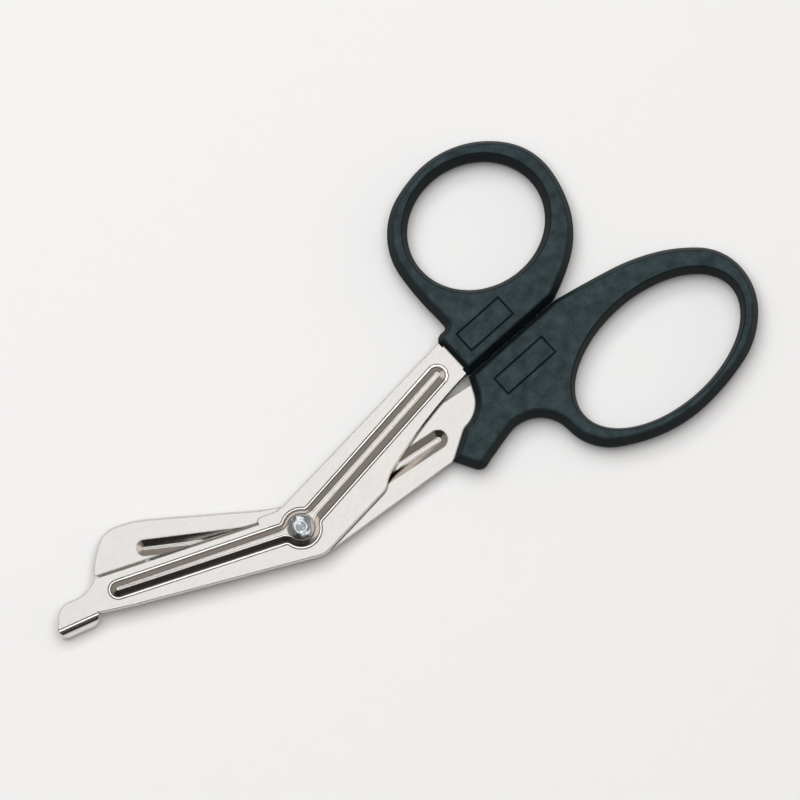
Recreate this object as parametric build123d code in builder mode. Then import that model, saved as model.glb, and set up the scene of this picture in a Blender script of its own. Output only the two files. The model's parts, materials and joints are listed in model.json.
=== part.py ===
from build123d import *
import os
from math import cos, hypot, radians, sin

# Bandage scissors, 190 mm long, lying on their back with the jaws shut.
# Two pressed steel blades cross on a domed rivet, the lower jaw ends in a blunt turned foot,
# and each shank is moulded into a plastic handle with a finger loop.
# Lengths are in millimetres, +Z points away from the table and +X runs along the line where
# the two handles meet, from the rivet towards the loops.

# Place of the rivet
pivot_x = -31.7
pivot_y = -1.9
handle_depth = 8.0
shear_height = handle_depth / 2

# Sheet of the blades
blade_gauge = 1.5
blade_gap = 0.06
jaw_reach = 46.0
shank_reach = 56.3
belly_radius = 6.0
edge_break = 0.35
spine_break = 0.5
overrun = 1.0

# Ground cutting edges
edge_bevel_width = 0.9
edge_bevel_depth = 1.1

# Pressed ribs and the boss about the rivet
rib_rise = 1.05
rib_flank = 1.8
rib_root_radius = 2.0
rib_crest_radius = 0.9
rib_blend = 1.3
boss_radius = 4.65
boss_flank = 1.25
rib_width = 4.8
rib_tip_width = 4.2

# Turned foot
foot_inner_radius = 1.0
foot_corner = 2.2
foot_drop_corner = 2.0

# Rivet
rivet_radius = 2.0
rivet_clearance = 0.05
rivet_float = 0.05
rivet_head_radius = 3.3
rivet_head_height = 1.3
rivet_rim = 0.35
rivet_tail_radius = 2.9
rivet_tail_height = 1.0

# Tangs moulded into the handles
tang_length = 17.0
tang_width = 7.5
tang_hole_radius = 1.75
tang_hole_setback = 5.0
tang_corner = 1.5

# Handles
seam_rise = 0.8
seam_gap = 0.3
seam_length = 28.6
handle_land = 0.6
handle_bevel = 1.4
handle_rim = 0.3
neck_margin = 1.25
neck_fillet = 1.1
neck_top_radius = 2.1
horn_reach = 17.1
horn_tip_radius = 2.5
horn_throat_radius = 3.0
thumb_hole_length = 35.4
thumb_hole_width = 31.4
thumb_hole_bevel = 1.3
thumb_hole_turn = -8.2
thumb_end_wall = 5.4
thumb_side_wall = 4.3
thumb_setback = 3.9
thumb_seat = 6.9
finger_hole_length = 48.8
finger_hole_width = 28.8
finger_hole_bevel = 1.0
finger_end_wall = 5.3
finger_side_wall = 3.8
finger_setback = 9.4
finger_seat = 8.5

# Bare frames sunk into the fronts of the handles
frame_line = 0.9
frame_depth = 0.6
thumb_frame_setback = 4.2
thumb_frame_length = 14.3
thumb_frame_width = 6.0
thumb_frame_rise = 6.5
finger_frame_setback = 3.6
finger_frame_length = 16.2
finger_frame_width = 5.6
finger_frame_drop = 7.85

# Outlines, as shares of the size named in the comment above each table.
# Jaws, shares of jaw_reach
front_edge_shares = [(-0.9935, 0.5500), (-0.1500, 0.1815)]
front_heel_shares = [(-0.1304, 0.1935), (-0.0413, 0.1576)]
tongue_shares = [
    (-1.2957, 0.5054),
    (-1.2435, 0.5391),
    (-1.1783, 0.5326),
    (-1.1065, 0.5157),
]
fold_shares = [(-1.1096, 0.3934), (-1.3335, 0.4640)]
front_back_shares = [(0.0000, -0.1924), (-0.9457, 0.2891), (-1.0987, 0.3758)]
rear_spine_shares = [
    (-0.0326, 0.1826),
    (-0.5652, 0.5909),
    (-0.7250, 0.6811),
    (-0.8609, 0.6720),
    (-0.9957, 0.5609),
    (-1.0000, 0.5011),
]
rear_heel_shares = [(-0.1739, 0.0043), (-0.1416, -0.0851), (-0.0717, -0.1391)]
# Shanks, shares of shank_reach
front_shank_top_shares = [(0.0089, 0.1297), (1.0000, 0.2131)]
front_shank_low_shares = [(0.3677, -0.1252), (0.4142, -0.1064), (0.4671, -0.0782), (1.0000, 0.0213)]
rear_shank_shares = [(0.0302, -0.1563), (0.6874, -0.2202), (1.0355, -0.2096), (1.0355, -0.0284)]
rear_shank_top_share = (0.0053, 0.1297)
# Far ends of the ribs, shares of jaw_reach and of shank_reach
front_jaw_rib_share = (-0.9478, 0.4087)
rear_jaw_rib_share = (-0.6891, 0.4870)
front_shank_rib_share = (0.8970, 0.1066)
rear_shank_rib_share = (0.7140, -0.1048)
# Loops, shares of half the length and half the width of the loop about its centre
thumb_loop_shares = [
    (0.4965, -1.0965),
    (0.8913, -0.5784),
    (1.0078, -0.0909),
    (0.8509, 0.5393),
    (0.3642, 0.9374),
    (-0.1011, 0.9985),
    (-0.4261, 0.9192),
    (-0.9698, 0.1689),
    (-0.9913, -0.5458),
]
finger_loop_shares = [
    (0.1603, 1.2709),
    (0.5098, 1.0647),
    (0.8459, 0.6844),
    (0.9953, 0.1303),
    (0.8513, -0.5056),
    (0.4798, -0.8790),
    (0.0133, -0.9945),
    (-0.5418, -0.8317),
    (-0.7856, -0.6214),
    (-1.0015, 0.0156),
]
# Horn of the finger handle, shares of horn_reach
horn_under_shares = [(-0.1170, -1.0175), (-0.5848, -1.1228)]
horn_tip_share = (-0.7766, -1.1836)
horn_front_shares = [(-1.0000, -0.7836), (-0.5556, -0.5205), (-0.0994, -0.2281)]
# Headings of the handle outlines at the first point of each loop
thumb_heading = 31.7
finger_heading = -13.9

pivot_plane = Plane(origin=(pivot_x, pivot_y, shear_height))
grip_plane = Plane(origin=(pivot_x + shank_reach, pivot_y + seam_rise, shear_height))
front_face = blade_gap / 2 + blade_gauge
handle_half = handle_depth / 2
bevel_height = handle_half - handle_land


def scaled(shares, size):
    return [(x * size, y * size) for x, y in shares]


def arc_chain(points, direction):
    # Arcs from point to point, each tangent to the one before it
    for start, end in zip(points, points[1:]):
        arc = TangentArc(start, end, tangent=direction)
        direction = arc % 1
    return arc


def heading(angle):
    return Vector(cos(radians(angle)), sin(radians(angle)))


def front_blade_plan():
    edge = scaled(front_edge_shares, jaw_reach)
    heel = scaled(front_heel_shares, jaw_reach)
    tongue = scaled(tongue_shares, jaw_reach)
    fold = scaled(fold_shares, jaw_reach)
    back = scaled(front_back_shares, jaw_reach)
    top = scaled(front_shank_top_shares, shank_reach)
    low = scaled(front_shank_low_shares, shank_reach)
    with BuildSketch() as plan:
        with BuildLine():
            Polyline(top[1], top[0], heel[1], heel[0], edge[1], edge[0])
            ThreePointArc(edge[0], tongue[3], tongue[2])
            ThreePointArc(tongue[2], tongue[1], tongue[0])
            Polyline(tongue[0], fold[1], fold[0], back[2], back[1], back[0])
            heel_line = Line(back[0], low[0])
            arc_chain(low, heel_line % 1)
            Line(low[3], top[1])
        make_face()
        fillet(plan.vertices().sort_by_distance(back[0])[0], radius=belly_radius)
    return plan.sketch


def rear_blade_plan():
    spine = scaled(rear_spine_shares, jaw_reach)
    heel = scaled(rear_heel_shares, jaw_reach)
    shank = scaled(rear_shank_shares, shank_reach)
    top = (rear_shank_top_share[0] * shank_reach, rear_shank_top_share[1] * shank_reach)
    with BuildSketch() as plan:
        with BuildLine():
            Polyline(shank[3], top, spine[0])
            back = Line(spine[0], spine[1])
            arc_chain(spine[1:], back % 1)
            Line(spine[5], heel[0])
            ThreePointArc(heel[0], heel[1], heel[2])
            Polyline(heel[2], shank[0], shank[1], shank[2], shank[3])
        make_face()
    return plan.sketch


def press_plan(jaw_share, shank_share, inset, boss_inset):
    # Boss about the rivet with a rib running off it into the jaw and another into the shank
    jaw_end = (jaw_share[0] * jaw_reach, jaw_share[1] * jaw_reach)
    shank_end = (shank_share[0] * shank_reach, shank_share[1] * shank_reach)
    with BuildSketch() as jaw_rib:
        Circle(rib_width / 2 - inset)
        with Locations(jaw_end):
            Circle(rib_tip_width / 2 - inset)
        make_hull()
    with BuildSketch() as shank_rib:
        Circle(rib_width / 2 - inset)
        with Locations(shank_end):
            Circle(rib_width / 2 - inset)
        make_hull()
    reach = boss_radius - boss_inset
    with BuildSketch() as plan:
        Circle(reach)
        add(jaw_rib.sketch)
        add(shank_rib.sketch)
        corners = [v for v in plan.vertices() if abs(hypot(v.X, v.Y) - reach) < rib_rise / 2]
        fillet(corners, radius=rib_blend + inset)
    return plan.sketch


def pressing(jaw_share, shank_share):
    # Raised shape with sloping flanks and a rounded crest
    with BuildPart() as press:
        with BuildSketch(pivot_plane):
            add(press_plan(jaw_share, shank_share, 0, 0))
        with BuildSketch(pivot_plane.offset(rib_rise)):
            add(press_plan(jaw_share, shank_share, rib_flank, boss_flank))
        loft(ruled=True)
        fillet(press.edges().group_by(Axis.Z)[-1], radius=rib_crest_radius)
    return press.part


def tang_plan(start, middle):
    # Flat tang from the end of a shank, with a hole that the plastic fills
    end = start + tang_length
    with BuildSketch() as plan:
        with Locations(((start + end - overrun) / 2, middle)):
            Rectangle(tang_length + overrun, tang_width)
        fillet(plan.vertices().group_by(Axis.X)[-1], radius=tang_corner)
        with Locations((end - tang_hole_setback, middle)):
            Circle(tang_hole_radius, mode=Mode.SUBTRACT)
    return plan.sketch


def place(shares, size):
    # Point of the part midway between the first and last of these outline points
    (x0, y0), (x1, y1) = shares[0], shares[-1]
    return pivot_plane.from_local_coords(Vector((x0 + x1) / 2 * size, (y0 + y1) / 2 * size))


def nearest_edges(face, points):
    return [face.edges().sort_by_distance(point)[0] for point in points]


def ground_off(heel, tip, side):
    # Wedge that grinding takes off the outer face along a cutting edge; side is +1 where the
    # blade lies to the right of the way from heel to tip
    run = (Vector(*tip) - Vector(*heel)) * jaw_reach
    start = pivot_plane.from_local_coords(Vector(*heel) * jaw_reach)
    low = front_face - edge_bevel_depth
    with BuildPart() as wedge:
        with BuildSketch(Plane(origin=start, x_dir=run.rotate(Axis.Z, 90 * side), z_dir=run)):
            with BuildLine():
                outline = [
                    (-edge_bevel_width, front_face * side),
                    (0, low * side),
                    (overrun, low * side),
                    (overrun, (front_face + overrun) * side),
                    (-edge_bevel_width, (front_face + overrun) * side),
                ]
                Polyline(outline, close=True)
            make_face()
        extrude(amount=run.length + overrun)
    return wedge.part


def handle_half_shape(plan, hole_place, half_length, half_width, hole_bevel):
    # Half of a handle above the plane where its two sides meet: a short upright land, then a
    # bevel and a narrow rim up to the flat, round the outside and round the finger hole
    rings = [
        (handle_land, 0),
        (handle_half - handle_rim, hole_bevel),
        (handle_half + overrun, hole_bevel + handle_rim + overrun),
    ]
    with BuildPart() as half:
        with BuildSketch(grip_plane):
            add(plan)
        extrude(amount=handle_half)
        flat = half.faces().sort_by(Axis.Z)[-1]
        chamfer(flat.edges(), length=handle_bevel, length2=bevel_height, reference=flat)
        chamfer(half.faces().sort_by(Axis.Z)[-1].edges(), length=handle_rim)
        with BuildSketch(grip_plane):
            with Locations(hole_place):
                Ellipse(half_length, half_width)
        extrude(amount=handle_land, mode=Mode.SUBTRACT)
        for level, spread in rings:
            with BuildSketch(grip_plane.offset(level)):
                with Locations(hole_place):
                    Ellipse(half_length + spread, half_width + spread)
        loft(ruled=True, mode=Mode.SUBTRACT)
    return half.part


front_tang_middle = (front_shank_top_shares[1][1] + front_shank_low_shares[3][1]) / 2 * shank_reach
rear_tang_middle = (rear_shank_shares[2][1] + rear_shank_shares[3][1]) / 2 * shank_reach
rear_tang_start = rear_shank_shares[2][0] * shank_reach
front_tang = tang_plan(shank_reach, front_tang_middle)
rear_tang = tang_plan(rear_tang_start, rear_tang_middle)
front_plan = front_blade_plan()
rear_plan = rear_blade_plan()
front_press = pressing(front_jaw_rib_share, front_shank_rib_share)
rear_press = pressing(rear_jaw_rib_share, rear_shank_rib_share)

# Front blade: the lower jaw with its foot, and the shank that carries the thumb loop
fold_start, fold_end = [Vector(*point) for point in scaled(fold_shares, jaw_reach)]
fold_run = fold_end - fold_start
foot_plane = Plane(
    origin=pivot_plane.from_local_coords(fold_start),
    x_dir=fold_run.rotate(Axis.Z, 90),
    z_dir=fold_run,
)
foot_radius = foot_inner_radius + blade_gauge
bend_height = front_face - foot_radius

with BuildPart() as foot:
    with BuildSketch(foot_plane):
        with BuildLine():
            CenterArc((0, bend_height), foot_radius, 0, 90)
            Line((0, front_face), (0, blade_gap / 2))
            CenterArc((0, bend_height), foot_inner_radius, 0, 90)
            Line((foot_inner_radius, bend_height), (foot_inner_radius, -handle_half))
            Line((foot_inner_radius, -handle_half), (foot_radius, -handle_half))
            Line((foot_radius, -handle_half), (foot_radius, bend_height))
        make_face()
    extrude(amount=fold_run.length)
    corners = foot.edges().group_by(Axis.Z)[0].sort_by(SortBy.LENGTH)[:2]
    fillet(corners, radius=foot_drop_corner)
    with BuildSketch(Plane(origin=foot_plane.origin, x_dir=-foot_plane.x_dir)) as foot_outline:
        with Locations((-foot_radius / 2, fold_run.length / 2)):
            Rectangle(foot_radius, fold_run.length)
        fillet(foot_outline.vertices().group_by(Axis.X)[0], radius=foot_corner)
    extrude(amount=handle_depth, both=True, mode=Mode.INTERSECT)

with BuildPart() as front_blade:
    with BuildSketch(pivot_plane.offset(blade_gap / 2)):
        add(front_plan)
        add(front_tang)
    extrude(amount=blade_gauge)
    sheet = front_blade.faces().sort_by(Axis.Z)[-1]
    deburred = [place(tongue_shares[n : n + 1], jaw_reach) for n in (1, 3)]
    deburred += [place(front_back_shares[n : n + 2], jaw_reach) for n in (0, 1)]
    deburred += [place(front_back_shares[:1], jaw_reach)]
    deburred += [place(front_shank_low_shares[n : n + 2], shank_reach) for n in (0, 1, 2)]
    deburred += [place(front_shank_top_shares, shank_reach)]
    heel_share = (0, front_back_shares[0][1] * jaw_reach / shank_reach)
    deburred += [place([heel_share, front_shank_low_shares[0]], shank_reach)]
    chamfer(nearest_edges(sheet, deburred), length=edge_break)
    add(ground_off(front_edge_shares[1], front_edge_shares[0], -1), mode=Mode.SUBTRACT)
    add(foot.part)
    add(front_press.moved(Location((0, 0, front_face))))
    fillet(front_blade.edges(Select.LAST).group_by(Axis.Z)[0], radius=rib_root_radius)
    add(front_press.moved(Location((0, 0, blade_gap / 2))), mode=Mode.SUBTRACT)
    with Locations(pivot_plane):
        Hole(radius=rivet_radius + rivet_clearance)

# Rear blade: the upper jaw, and the shank that carries the finger loop.
# It is drawn facing up and then turned over about the plane on which the blades meet.
with BuildPart() as rear_blade:
    with BuildSketch(pivot_plane.offset(blade_gap / 2)):
        add(rear_plan)
        add(rear_tang)
    extrude(amount=blade_gauge)
    inner = rear_blade.faces().sort_by(Axis.Z)[0]
    spine = [place(rear_spine_shares[n : n + 2], jaw_reach) for n in range(4)]
    broken = nearest_edges(inner, spine)
    chamfer(broken, length=spine_break)
    add(ground_off(rear_heel_shares[0], rear_spine_shares[5], 1), mode=Mode.SUBTRACT)
    add(rear_press.moved(Location((0, 0, front_face))))
    fillet(rear_blade.edges(Select.LAST).group_by(Axis.Z)[0], radius=rib_root_radius)
    add(rear_press.moved(Location((0, 0, blade_gap / 2))), mode=Mode.SUBTRACT)
    with Locations(pivot_plane):
        Hole(radius=rivet_radius)
    mirror(rear_blade.part, about=pivot_plane, mode=Mode.REPLACE)

# Rivet: a domed head in front of the boss, peened over behind it
front_seat = front_face + rib_rise + rivet_float
rear_seat = -front_face - rib_rise
head_top = front_seat + rivet_head_height
tail_end = rear_seat - rivet_tail_height
with BuildPart() as pivot_rivet:
    with BuildSketch(Plane(pivot_plane.origin, x_dir=(1, 0, 0), z_dir=(0, -1, 0))):
        with BuildLine():
            TangentArc((0, head_top), (rivet_head_radius, front_seat + rivet_rim), tangent=(1, 0))
            Polyline(
                (rivet_head_radius, front_seat + rivet_rim),
                (rivet_head_radius, front_seat),
                (rivet_radius, front_seat),
                (rivet_radius, rear_seat),
                (rivet_tail_radius, rear_seat),
                (rivet_tail_radius, rear_seat - rivet_rim),
            )
            TangentArc((0, tail_end), (rivet_tail_radius, rear_seat - rivet_rim), tangent=(1, 0))
            Line((0, tail_end), (0, head_top))
        make_face()
    revolve(axis=Axis(pivot_plane.origin, (0, 0, 1)))

# Handles
seam = seam_gap / 2
thumb_half_length = thumb_hole_length / 2 + thumb_end_wall
thumb_half_width = thumb_hole_width / 2 + thumb_side_wall
thumb_x = thumb_setback + thumb_half_length
thumb_y = thumb_seat + thumb_half_width
front_end_rise = front_shank_top_shares[1][1] * shank_reach - seam_rise + neck_margin
finger_half_length = finger_hole_length / 2 + finger_end_wall
finger_half_width = finger_hole_width / 2 + finger_side_wall
finger_x = finger_setback + finger_half_length
finger_y = -finger_seat - finger_half_width

with BuildSketch() as thumb_plan:
    with BuildLine():
        loop = [
            (thumb_x + x * thumb_half_length, thumb_y + y * thumb_half_width)
            for x, y in thumb_loop_shares
        ]
        TangentArc(loop[0], (seam_length, seam), tangent=-heading(thumb_heading))
        arc_chain(loop, heading(thumb_heading))
        neck = (loop[-1][0], front_end_rise)
        Polyline(loop[-1], neck, (0, front_end_rise), (0, seam), (seam_length, seam))
    make_face()
    fillet(thumb_plan.vertices().sort_by_distance(neck)[0], radius=neck_fillet)
    fillet(thumb_plan.vertices().sort_by_distance((0, front_end_rise))[0], radius=neck_top_radius)

with BuildSketch() as finger_plan:
    with BuildLine():
        loop = [
            (finger_x + x * finger_half_length, finger_y + y * finger_half_width)
            for x, y in finger_loop_shares
        ]
        under = scaled(horn_under_shares, horn_reach)
        tip = (horn_tip_share[0] * horn_reach, horn_tip_share[1] * horn_reach)
        front = scaled(horn_front_shares, horn_reach)
        TangentArc(loop[0], (seam_length, -seam), tangent=-heading(finger_heading))
        arc_chain(loop + under, heading(finger_heading))
        Polyline(under[1], tip, front[0], front[1])
        throat = Line((0, -seam), front[2])
        TangentArc(front[2], front[1], tangent=throat % 1)
        Line((0, -seam), (seam_length, -seam))
    make_face()
    fillet(finger_plan.vertices().sort_by_distance(tip)[0], radius=horn_tip_radius)
    fillet(finger_plan.vertices().sort_by_distance(front[1])[0], radius=horn_throat_radius)

thumb_half = handle_half_shape(
    thumb_plan.sketch,
    Location((thumb_x, thumb_y), thumb_hole_turn),
    thumb_hole_length / 2,
    thumb_hole_width / 2,
    thumb_hole_bevel,
)
finger_half = handle_half_shape(
    finger_plan.sketch,
    Location((finger_x, finger_y)),
    finger_hole_length / 2,
    finger_hole_width / 2,
    finger_hole_bevel,
)

with BuildPart() as thumb_handle:
    add(thumb_half)
    mirror(about=grip_plane)
    with BuildSketch(pivot_plane.offset(blade_gap / 2)):
        add(front_tang)
    extrude(amount=blade_gauge, mode=Mode.SUBTRACT)
    with BuildSketch(grip_plane.offset(handle_half)):
        with Locations((thumb_frame_setback + thumb_frame_length / 2, thumb_frame_rise)):
            Rectangle(thumb_frame_length, thumb_frame_width)
            inner_frame = (thumb_frame_length - frame_line, thumb_frame_width - frame_line)
            Rectangle(*inner_frame, mode=Mode.SUBTRACT)
    extrude(amount=-frame_depth, mode=Mode.SUBTRACT)

with BuildPart() as finger_handle:
    add(finger_half)
    mirror(about=grip_plane)
    with BuildSketch(pivot_plane.offset(-blade_gap / 2)):
        add(rear_plan)
        add(rear_tang)
    extrude(amount=-blade_gauge, mode=Mode.SUBTRACT)
    with BuildSketch(grip_plane.offset(handle_half)):
        with Locations((finger_frame_setback + finger_frame_length / 2, -finger_frame_drop)):
            Rectangle(finger_frame_length, finger_frame_width)
            inner_frame = (finger_frame_length - frame_line, finger_frame_width - frame_line)
            Rectangle(*inner_frame, mode=Mode.SUBTRACT)
    extrude(amount=-frame_depth, mode=Mode.SUBTRACT)

front_blade.part.label = "front_blade"
rear_blade.part.label = "rear_blade"
pivot_rivet.part.label = "pivot_rivet"
thumb_handle.part.label = "thumb_handle"
finger_handle.part.label = "finger_handle"

os.makedirs("parts", exist_ok=True)
export_step(front_blade.part, "parts/front_blade.step")
export_step(rear_blade.part, "parts/rear_blade.step")
export_step(pivot_rivet.part, "parts/pivot_rivet.step")
export_step(thumb_handle.part, "parts/thumb_handle.step")
export_step(finger_handle.part, "parts/finger_handle.step")
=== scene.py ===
import json
from math import cos, radians, sin

import bpy
import numpy as np
from bpy.props import FloatProperty, FloatVectorProperty, PointerProperty
from mathutils import Matrix, Vector


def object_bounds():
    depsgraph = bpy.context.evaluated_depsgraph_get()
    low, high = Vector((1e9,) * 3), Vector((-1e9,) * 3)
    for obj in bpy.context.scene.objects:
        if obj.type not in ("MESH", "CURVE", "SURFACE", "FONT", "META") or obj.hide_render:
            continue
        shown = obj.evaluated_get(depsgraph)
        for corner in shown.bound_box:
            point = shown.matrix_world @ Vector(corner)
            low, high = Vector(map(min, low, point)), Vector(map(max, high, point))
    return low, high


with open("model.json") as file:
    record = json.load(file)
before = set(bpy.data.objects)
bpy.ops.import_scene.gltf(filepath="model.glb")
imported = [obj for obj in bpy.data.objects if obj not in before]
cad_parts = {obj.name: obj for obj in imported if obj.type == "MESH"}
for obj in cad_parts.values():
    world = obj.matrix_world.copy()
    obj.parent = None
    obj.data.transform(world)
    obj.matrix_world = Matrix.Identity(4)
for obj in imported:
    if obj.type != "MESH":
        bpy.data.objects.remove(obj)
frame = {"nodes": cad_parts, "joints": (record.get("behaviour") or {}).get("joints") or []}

bl_info = {
    "name": "Bandage Scissors",
    "version": (1, 0, 0),
    "blender": (4, 5, 0),
    "location": "View3D > Sidebar > Scissors",
    "description": "Finishes for a pair of bandage scissors, and the table and light around them",
    "category": "Object",
}

MM = 0.001
CAD_LOW, CAD_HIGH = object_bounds()
PIVOT = Vector(frame["joints"][0]["pos_m"])
BLADES = ("front_blade", "rear_blade")
HANDLES = ("thumb_handle", "finger_handle")
RIVET = "pivot_rivet"

# Directions on the table: the way the jaws' ribs and the shanks' ribs run from the pivot, and
# the photograph's right and up. The camera looks at a point beside the pivot.
JAW_RUN = Vector((-0.92, 0.40, 0.0)).normalized()
SHANK_RUN = Vector((0.993, 0.118, 0.0)).normalized()
PHOTO_RIGHT = Vector((0.7417, -0.6708, 0.0))
PHOTO_UP = Vector((0.6708, 0.7417, 0.0))
UP = Vector((0.0, 0.0, 1.0))
LOOK_FROM_PIVOT = Vector((39.80, 7.76, 0.0)) * MM
CAMERA_TILT = radians(11.0)
CAMERA_DISTANCE = 2.0
CAMERA_CLIP = (0.05, 20.0)
LENS = 364.08
SENSOR = 36.0

# Rays traced for each corner or edge that a shader looks for
NODE_SAMPLES = 8

# Steel: noise scales per millimetre (a stretch of 0.06 makes scratches 1/0.06 times as long as
# wide), the painted shade in corners and gaps, and the easing of the sheet's edges
CORNER_SHADE_REACH = 0.5 * MM
CORNER_SHADE_TONE = 0.05
SHEET_EDGE = 0.3 * MM
SCRATCHES = 4.0
SCRATCH_STRETCH = 0.06
SCRATCH_DEPTH = 0.01 * MM
SCRATCH_STRENGTH = 0.02
DENT_SCALE = 0.45
DRIFT_SCALE = 0.05
HANDLING_SCALE = 0.9
DULL_STEEL = 0.93

# Plastic: painted shade in the grooves, and painted shade on the bevels, which are darker than
# upright faces by the square of the normal's upright part
GROOVE_SHADE_REACH = 0.8 * MM
PLASTIC_IOR = 1.14
CLOUD_SCALE = 0.30
SPECKLE_SCALE = 3.5
GRAIN_STRENGTH = 0.5
SHADE_FROM = 0.35
SHADE_TO = 0.95
BEVEL_SHADE_TONE = 0.14
DARKEST_PLASTIC = 0.2
PALEST_PLASTIC = 1.95

# Table and lamp; diffuse light finds the table darker than the camera does
FLOOR_RADIUS = 4.0
FLOOR_ROUGHNESS = 0.7
FIBRE_SCALE = 0.8
FIBRE_SHADE = 0.98
FLOOR_BOUNCE = 0.4
FLOOR_SPOKES = 96
FLOOR_RINGS = 12
KEY_SIZE = 1.4
KEY_DISTANCE = 1.2
KEY_TILT = radians(14.0)
KEY_SIDE = (PHOTO_UP * 0.84 - PHOTO_RIGHT * 0.54).normalized()

# Sky: levels, the degrees from the flat steel's mirror way where each ring ends, and the shares
# along a direction between which the dark side, the window and the horizon come in
SEEING_RAYS = ("Camera", "Glossy", "Transmission")
PATCH_LIGHT = 1.14
GAP_LIGHT = 0.01
RING_LIGHT = 2.1
HEM_LIGHT = 0.06
DIM_SIDE = 0.25
DARK_SIDE = 0.02
WINDOW_LIGHT = 0.8
HORIZON_LIGHT = 0.7
PATCH_RIM = (6.5, 9.5)
GAP_RIM = (20.0, 24.0)
RING_RIM = (31.0, 36.0)
HEM_RIM = (46.0, 52.0)
DARK_WAY = (PHOTO_RIGHT * -0.17 - PHOTO_UP * 0.985).normalized()
DARK_RIM = (0.42, 0.66)
WINDOW_TURN = radians(10.0)
WINDOW_RIM = (0.62, 0.85)
HORIZON_RIM = (0.16, 0.30)
WARM = (1.0, 0.90, 0.82)
WHITE = (1.0, 1.0, 1.0)


class Wire:
    """A shader socket that takes part in arithmetic: each sum or product adds its Math node."""

    def __init__(self, finish, socket):
        self.finish = finish
        self.socket = socket

    def maths(self, operation, *values):
        return self.finish.node("ShaderNodeMath", {"operation": operation}, dict(enumerate(values)))

    def __add__(self, other):
        return self.maths("ADD", self, other)

    def __sub__(self, other):
        return self.maths("SUBTRACT", self, other)

    def __rsub__(self, other):
        return self.maths("SUBTRACT", other, self)

    def __mul__(self, other):
        return self.maths("MULTIPLY", self, other)

    def __pow__(self, other):
        return self.maths("POWER", self, other)

    __radd__ = __add__

    def clipped(self):
        return self.maths("MAXIMUM", self.maths("MINIMUM", self, 1.0), 0.0)


class Finish:
    """A material or world being wired up: node() adds any node and gives its first output."""

    def __init__(self, owner):
        owner.use_nodes = True
        self.tree = owner.node_tree
        self.tree.nodes.clear()

    def node(self, kind, settings=None, values=None, output=0):
        made = self.tree.nodes.new(kind)
        for name, value in (settings or {}).items():
            setattr(made, name, value)
        for name, value in (values or {}).items():
            if isinstance(value, Wire):
                self.tree.links.new(value.socket, made.inputs[name])
            else:
                made.inputs[name].default_value = value
        return Wire(self, made.outputs[output]) if made.outputs else None

    def coordinates(self, offset=(0.0, 0.0, 0.0), turn=0.0, stretch=(1.0, 1.0, 1.0)):
        """Object coordinates in millimetres about a point, turned to a run and stretched."""
        place = self.node("ShaderNodeTexCoord", output=3)
        about = self.node("ShaderNodeVectorMath", {"operation": "SUBTRACT"}, {0: place, 1: offset})
        return self.node(
            "ShaderNodeMapping",
            {"vector_type": "TEXTURE"},
            {
                "Vector": about,
                "Rotation": (0.0, 0.0, turn),
                "Scale": tuple(MM / part for part in stretch),
            },
        )

    def noise(self, vector, scale, detail=3.0, roughness=0.5):
        return self.node(
            "ShaderNodeTexNoise",
            {"noise_dimensions": "3D"},
            {"Vector": vector, "Scale": scale, "Detail": detail, "Roughness": roughness},
        )

    def tinted(self, factor, dark, light):
        return self.node(
            "ShaderNodeMix",
            {"data_type": "RGBA"},
            {0: factor, 6: (*dark, 1.0), 7: light if isinstance(light, Wire) else (*light, 1.0)},
            output=2,
        )

    def openness(self, reach, local):
        """1 on open surfaces, falling to 0 in corners that are tighter than the reach."""
        settings = {"samples": NODE_SAMPLES, "only_local": local}
        return self.node("ShaderNodeAmbientOcclusion", settings, {"Distance": reach}, "AO")

    def eased(self, radius):
        """The normal that the surface would have with its edges rounded to a radius."""
        return self.node("ShaderNodeBevel", {"samples": NODE_SAMPLES}, {"Radius": radius})

    def seen(self):
        """1 for the rays of the camera, of reflections and of clear matter, 0 for diffuse light."""
        rays = [self.node("ShaderNodeLightPath", output=f"Is {kind} Ray") for kind in SEEING_RAYS]
        return (rays[0] + rays[1] + rays[2]).clipped()

    def surface(self, constants, varying):
        """A Principled surface: constants on its own sockets, varying ones linked to them."""
        shader = self.node("ShaderNodeBsdfPrincipled", None, {**constants, **varying})
        self.node("ShaderNodeOutputMaterial", None, {"Surface": shader})


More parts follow.
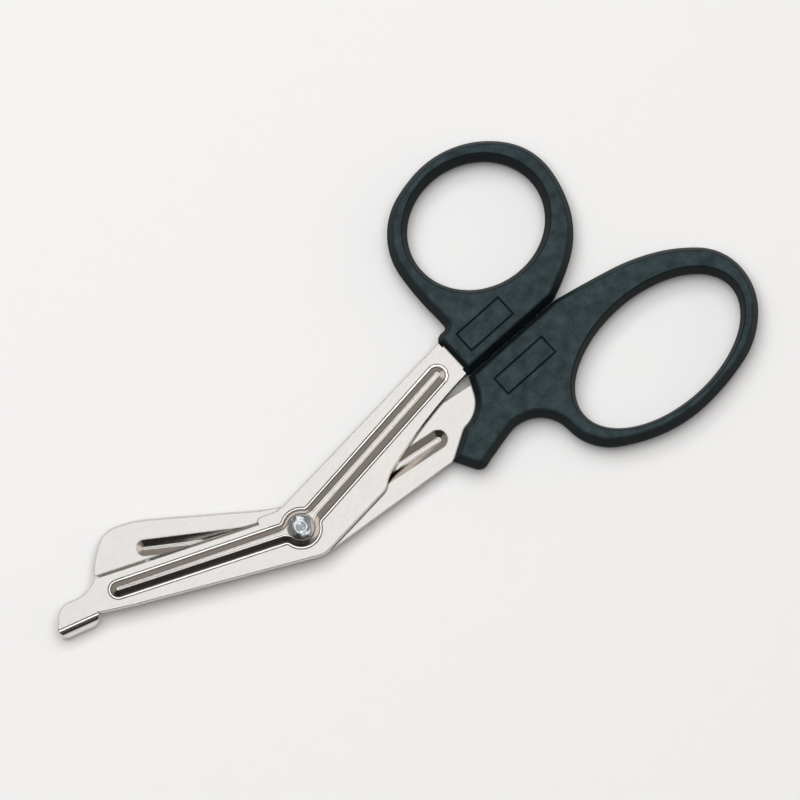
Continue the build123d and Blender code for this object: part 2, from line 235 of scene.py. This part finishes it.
def steel(name, colour, roughness, runs, dents):
    """Buffed stainless sheet: the tone drifts by a few percent over centimetres, and fine
    scratches run along each half of the blade, in the roughness and as a slight relief. Painted
    shade darkens corners and gaps tighter than a sheet's thickness, also against other parts and
    the table, and the face is dented by the given depth."""
    material = bpy.data.materials.new(name)
    finish = Finish(material)
    jaw_run, shank_run = runs
    along_jaw = finish.coordinates(PIVOT, jaw_run, (SCRATCH_STRETCH, 1.0, 1.0))
    along_shank = finish.coordinates(PIVOT, shank_run, (SCRATCH_STRETCH, 1.0, 1.0))
    plain = finish.coordinates(PIVOT)
    side = finish.node("ShaderNodeSeparateXYZ", None, {0: plain})
    jaw_side = (0.5 - side * 2.0).clipped()
    fine = finish.noise(along_jaw, SCRATCHES) * jaw_side
    fine = fine + finish.noise(along_shank, SCRATCHES) * (1.0 - jaw_side)
    drift = finish.noise(plain, DRIFT_SCALE, 2.0)
    handling = finish.noise(plain, HANDLING_SCALE, 4.0, 0.6)
    tone = (drift * 0.6 + fine * 0.4).clipped()
    dark = tuple(part * DULL_STEEL for part in colour)
    painted_shade = tuple(part * CORNER_SHADE_TONE for part in colour)
    # Painted shade: the base colour falls to a twentieth in corners and gaps, also near other parts
    # and the table
    corners = finish.openness(CORNER_SHADE_REACH, False) ** 2.0
    eased = finish.eased(SHEET_EDGE)
    blows = finish.node(
        "ShaderNodeBump",
        None,
        {"Distance": dents, "Height": finish.noise(plain, DENT_SCALE, 1.0), "Normal": eased},
    )
    relief = finish.node(
        "ShaderNodeBump",
        None,
        {"Strength": SCRATCH_STRENGTH, "Distance": SCRATCH_DEPTH, "Height": fine, "Normal": blows},
    )
    finish.surface(
        {"Metallic": 1.0},
        {
            "Base Color": finish.tinted(corners, painted_shade, finish.tinted(tone, dark, colour)),
            "Roughness": (roughness + (fine - 0.5) * 0.08 + (handling - 0.5) * 0.06).clipped(),
            "Normal": relief,
        },
    )
    return material


def moulded(name, colour, roughness, grain, edge):
    """Moulded plastic: a spark-eroded grain of tenths of a millimetre in relief and gloss, a faint
    cloudiness over centimetres, painted shade that makes the bevels darker than the upright faces,
    and painted shade in the grooves."""
    material = bpy.data.materials.new(name)
    finish = Finish(material)
    plain = finish.coordinates(PIVOT)
    cloud = finish.noise(plain, CLOUD_SCALE, 4.0, 0.65)
    speckle = finish.noise(plain, SPECKLE_SCALE, 3.0, 0.6)
    tone = ((cloud - 0.5) * 1.1 + (speckle - 0.5) * 0.6 + 0.5).clipped()
    # Painted shade: the base colour darkens as the surface turns away from upright, so bevels and
    # walls look shaded
    facing = finish.node("ShaderNodeTexCoord", output=1)
    upright = finish.node("ShaderNodeSeparateXYZ", None, {0: facing}, 2)
    upright_shade = finish.node(
        "ShaderNodeMapRange",
        {"interpolation_type": "SMOOTHSTEP"},
        {
            "Value": upright * upright,
            "From Min": SHADE_FROM,
            "From Max": SHADE_TO,
            "To Min": BEVEL_SHADE_TONE,
            "To Max": 1.0,
        },
    )
    # Painted shade in the grooves: the tone darkens where the handle's own surfaces close in
    tone = tone * upright_shade * (finish.openness(GROOVE_SHADE_REACH, True) ** 2.0)
    dark = tuple(part * DARKEST_PLASTIC for part in colour)
    light = tuple(part * PALEST_PLASTIC for part in colour)
    eased = finish.eased(edge)
    relief = finish.node(
        "ShaderNodeBump",
        None,
        {"Strength": GRAIN_STRENGTH, "Distance": grain, "Height": speckle, "Normal": eased},
    )
    finish.surface(
        {"Metallic": 0.0, "IOR": PLASTIC_IOR},
        {
            "Base Color": finish.tinted(tone, dark, light),
            "Roughness": (roughness + (speckle - 0.5) * 0.15 + (cloud - 0.5) * 0.1).clipped(),
            "Normal": relief,
        },
    )
    return material


def dress(names, material):
    for name in names:
        mesh = frame["nodes"][name].data
        mesh.materials.clear()
        mesh.materials.append(material)


class ScissorsSettings(bpy.types.PropertyGroup):
    """Colours and levels that a user would change."""

    steel_colour: FloatVectorProperty(
        name="Steel",
        description="Colour of the blades",
        default=(0.80, 0.775, 0.75),
        subtype="COLOR",
    )
    steel_roughness: FloatProperty(
        name="Steel roughness",
        description="How blurred the blades' reflections are",
        default=0.16,
        subtype="FACTOR",
    )
    rivet_colour: FloatVectorProperty(
        name="Rivet",
        description="Colour of the rivet",
        default=(0.68, 0.73, 0.77),
        subtype="COLOR",
    )
    rivet_roughness: FloatProperty(
        name="Rivet roughness",
        description="How blurred the rivet's reflections are",
        default=0.26,
        subtype="FACTOR",
    )
    rivet_dents: FloatProperty(
        name="Rivet dents",
        description="Depth of the dents of the struck head",
        default=0.5 * MM,
        subtype="DISTANCE",
        unit="LENGTH",
    )
    plastic_colour: FloatVectorProperty(
        name="Plastic",
        description="Colour of the handles",
        default=(0.0250, 0.0372, 0.0415),
        subtype="COLOR",
    )
    plastic_roughness: FloatProperty(
        name="Plastic roughness",
        description="How matt the handles are",
        default=0.48,
        subtype="FACTOR",
    )
    plastic_grain: FloatProperty(
        name="Plastic grain",
        description="Depth of the moulded grain",
        default=0.02 * MM,
        subtype="DISTANCE",
        unit="LENGTH",
    )
    plastic_edge: FloatProperty(
        name="Plastic edge",
        description="Radius that the moulded edges look rounded to",
        default=0.5 * MM,
        subtype="DISTANCE",
        unit="LENGTH",
    )
    floor_colour: FloatVectorProperty(
        name="Table",
        description="Colour of the table top",
        default=(0.74, 0.74, 0.74),
        subtype="COLOR",
    )
    key_power: FloatProperty(
        name="Key lamp",
        description="Power of the soft lamp",
        default=14.3,
        subtype="POWER",
        unit="POWER",
    )


class SCISSORS_OT_blades(bpy.types.Operator):
    """Give both blades their buffed steel"""

    bl_idname = "scissors.blades"
    bl_label = "Blades"

    def execute(self, context):
        wanted = context.scene.scissors
        runs = [float(np.arctan2(run.y, run.x)) for run in (JAW_RUN, SHANK_RUN)]
        colour, level = tuple(wanted.steel_colour), wanted.steel_roughness
        dress(BLADES, steel("blade_steel", colour, level, runs, 0.0))
        return {"FINISHED"}


class SCISSORS_OT_rivet(bpy.types.Operator):
    """Give the rivet its turned steel"""

    bl_idname = "scissors.rivet"
    bl_label = "Rivet"

    def execute(self, context):
        wanted = context.scene.scissors
        colour, level = tuple(wanted.rivet_colour), wanted.rivet_roughness
        dress([RIVET], steel("rivet_steel", colour, level, (0.0, 0.0), wanted.rivet_dents))
        return {"FINISHED"}


class SCISSORS_OT_handles(bpy.types.Operator):
    """Give both handles their moulded plastic"""

    bl_idname = "scissors.handles"
    bl_label = "Handles"

    def execute(self, context):
        wanted = context.scene.scissors
        dress(
            HANDLES,
            moulded(
                "handle_plastic",
                tuple(wanted.plastic_colour),
                wanted.plastic_roughness,
                wanted.plastic_grain,
                wanted.plastic_edge,
            ),
        )
        return {"FINISHED"}


def table_top(colour):
    """A disc: radius times the cosine and sine of the angle, rings by spokes, flat at z = 0."""
    spokes, rings = FLOOR_SPOKES, FLOOR_RINGS
    angle, reach = np.meshgrid(
        np.linspace(0.0, 2.0 * np.pi, spokes, endpoint=False),
        FLOOR_RADIUS * np.linspace(0.0, 1.0, rings + 1)[1:] ** 2,
    )
    level = np.full_like(reach, CAD_LOW.z)
    points = np.stack([reach * np.cos(angle), reach * np.sin(angle), level], -1)
    points = np.vstack([points.reshape(-1, 3), [[0.0, 0.0, CAD_LOW.z]]])
    ring, spoke = np.meshgrid(np.arange(rings - 1), np.arange(spokes), indexing="ij")
    first = ring * spokes + spoke
    after = ring * spokes + (spoke + 1) % spokes
    quads = np.stack([first, first + spokes, after + spokes, after], -1).reshape(-1, 4)
    centre = np.full(spokes, len(points) - 1)
    wedge = np.stack([centre, np.arange(spokes), (np.arange(spokes) + 1) % spokes], -1)
    mesh = bpy.data.meshes.new("table_top")
    mesh.from_pydata(points.tolist(), [], quads.tolist() + wedge.tolist())
    floor = bpy.data.objects.new("table_top", mesh)
    bpy.context.scene.collection.objects.link(floor)
    material = bpy.data.materials.new("table_card")
    finish = Finish(material)
    fibre = finish.noise(finish.coordinates(), FIBRE_SCALE)
    dark = tuple(part * FIBRE_SHADE for part in colour)
    card = finish.tinted(fibre, dark, colour)
    bounce = finish.tinted(finish.seen(), tuple(part * FLOOR_BOUNCE for part in colour), card)
    finish.surface({"Roughness": FLOOR_ROUGHNESS}, {"Base Color": bounce})
    mesh.materials.append(material)


def studio_sky():
    """Soft light, by the angle from the way that the flat steel looks: a bright patch overhead, a
    dark ring, a bright ring and a dark ring, then warm dim sides with a dark one at the
    photograph's bottom, a window on its right and a pale backdrop at the horizon."""
    world = bpy.data.worlds.new("studio")
    bpy.context.scene.world = world
    finish = Finish(world)
    way = finish.node("ShaderNodeTexCoord")

    def along(direction):
        values = {0: way, 1: tuple(direction)}
        return finish.node("ShaderNodeVectorMath", {"operation": "DOT_PRODUCT"}, values, 1)

    def rising(value, rim):
        low, high = rim
        return finish.node(
            "ShaderNodeMapRange",
            {"interpolation_type": "SMOOTHSTEP"},
            {"Value": value, "From Min": low, "From Max": high},
        )

    def within(rim):
        inner, outer = rim
        return rising(mirrored, (cos(radians(outer)), cos(radians(inner))))

    mirrored = along(UP * cos(CAMERA_TILT) + PHOTO_UP * sin(CAMERA_TILT))
    dark_side = rising(along(DARK_WAY), DARK_RIM)
    window_way = PHOTO_RIGHT * cos(WINDOW_TURN) + PHOTO_UP * sin(WINDOW_TURN)
    window = rising(along(window_way), WINDOW_RIM)
    side = (1.0 - dark_side) * DIM_SIDE + dark_side * DARK_SIDE
    side = (1.0 - window) * side + window * WINDOW_LIGHT
    horizon = (1.0 - rising(along(UP), HORIZON_RIM)) * finish.seen()
    side = (1.0 - horizon) * side + horizon * HORIZON_LIGHT
    hem, ring, gap, patch = (within(rim) for rim in (HEM_RIM, RING_RIM, GAP_RIM, PATCH_RIM))
    rings = (hem - ring) * HEM_LIGHT + (gap - patch) * GAP_LIGHT
    rings = rings + (ring - gap) * RING_LIGHT + patch * PATCH_LIGHT
    level = side * (1.0 - hem) + rings
    colour = finish.tinted(ring, WARM, WHITE)
    light = finish.node("ShaderNodeBackground", None, {"Color": colour, "Strength": level})
    finish.node("ShaderNodeOutputWorld", None, {"Surface": light})


def aim(thing, place, target):
    thing.location = place
    thing.rotation_mode = "QUATERNION"
    thing.rotation_quaternion = (target - place).to_track_quat("-Z", "Y")


def key_lamp(power):
    lamp = bpy.data.lights.new("key_lamp", "AREA")
    lamp.shape = "DISK"
    lamp.size = KEY_SIZE
    lamp.energy = power
    holder = bpy.data.objects.new("key_lamp", lamp)
    bpy.context.scene.collection.objects.link(holder)
    holder.visible_glossy = False
    way = KEY_SIDE * sin(KEY_TILT) + UP * cos(KEY_TILT)
    aim(holder, PIVOT + way * KEY_DISTANCE, PIVOT)


def photo_camera():
    look = PIVOT + LOOK_FROM_PIVOT
    back = UP * cos(CAMERA_TILT) - PHOTO_UP * sin(CAMERA_TILT)
    up = PHOTO_UP * cos(CAMERA_TILT) + UP * sin(CAMERA_TILT)
    data = bpy.data.cameras.new("photo_camera")
    data.lens = LENS
    data.sensor_width = SENSOR
    data.clip_start, data.clip_end = CAMERA_CLIP
    camera = bpy.data.objects.new("photo_camera", data)
    bpy.context.scene.collection.objects.link(camera)
    turned = Matrix((PHOTO_RIGHT, up, back)).transposed().to_4x4()
    camera.matrix_world = Matrix.Translation(look + back * CAMERA_DISTANCE) @ turned
    bpy.context.scene.camera = camera


class SCISSORS_OT_stage(bpy.types.Operator):
    """Lay the table, light it and set the camera"""

    bl_idname = "scissors.stage"
    bl_label = "Table, light and camera"

    def execute(self, context):
        wanted = context.scene.scissors
        context.scene.view_settings.view_transform = "Standard"
        table_top(tuple(wanted.floor_colour))
        studio_sky()
        key_lamp(wanted.key_power)
        photo_camera()
        return {"FINISHED"}


class SCISSORS_PT_panel(bpy.types.Panel):
    """Lists the pieces and their settings"""

    bl_idname = "SCISSORS_PT_panel"
    bl_label = "Bandage scissors"
    bl_space_type = "VIEW_3D"
    bl_region_type = "UI"
    bl_category = "Scissors"

    def draw(self, context):
        for made in OPERATORS:
            self.layout.operator(made.bl_idname)
        for name in ScissorsSettings.__annotations__:
            self.layout.prop(context.scene.scissors, name)


OPERATORS = (SCISSORS_OT_blades, SCISSORS_OT_rivet, SCISSORS_OT_handles, SCISSORS_OT_stage)
CLASSES = (ScissorsSettings, *OPERATORS, SCISSORS_PT_panel)


def register():
    for made in CLASSES:
        bpy.utils.register_class(made)
    bpy.types.Scene.scissors = PointerProperty(type=ScissorsSettings)


def unregister():
    del bpy.types.Scene.scissors
    for made in reversed(CLASSES):
        bpy.utils.unregister_class(made)


def main():
    register()
    bpy.ops.scissors.blades()
    bpy.ops.scissors.rivet()
    bpy.ops.scissors.handles()
    bpy.ops.scissors.stage()


if __name__ == "__main__":
    main()
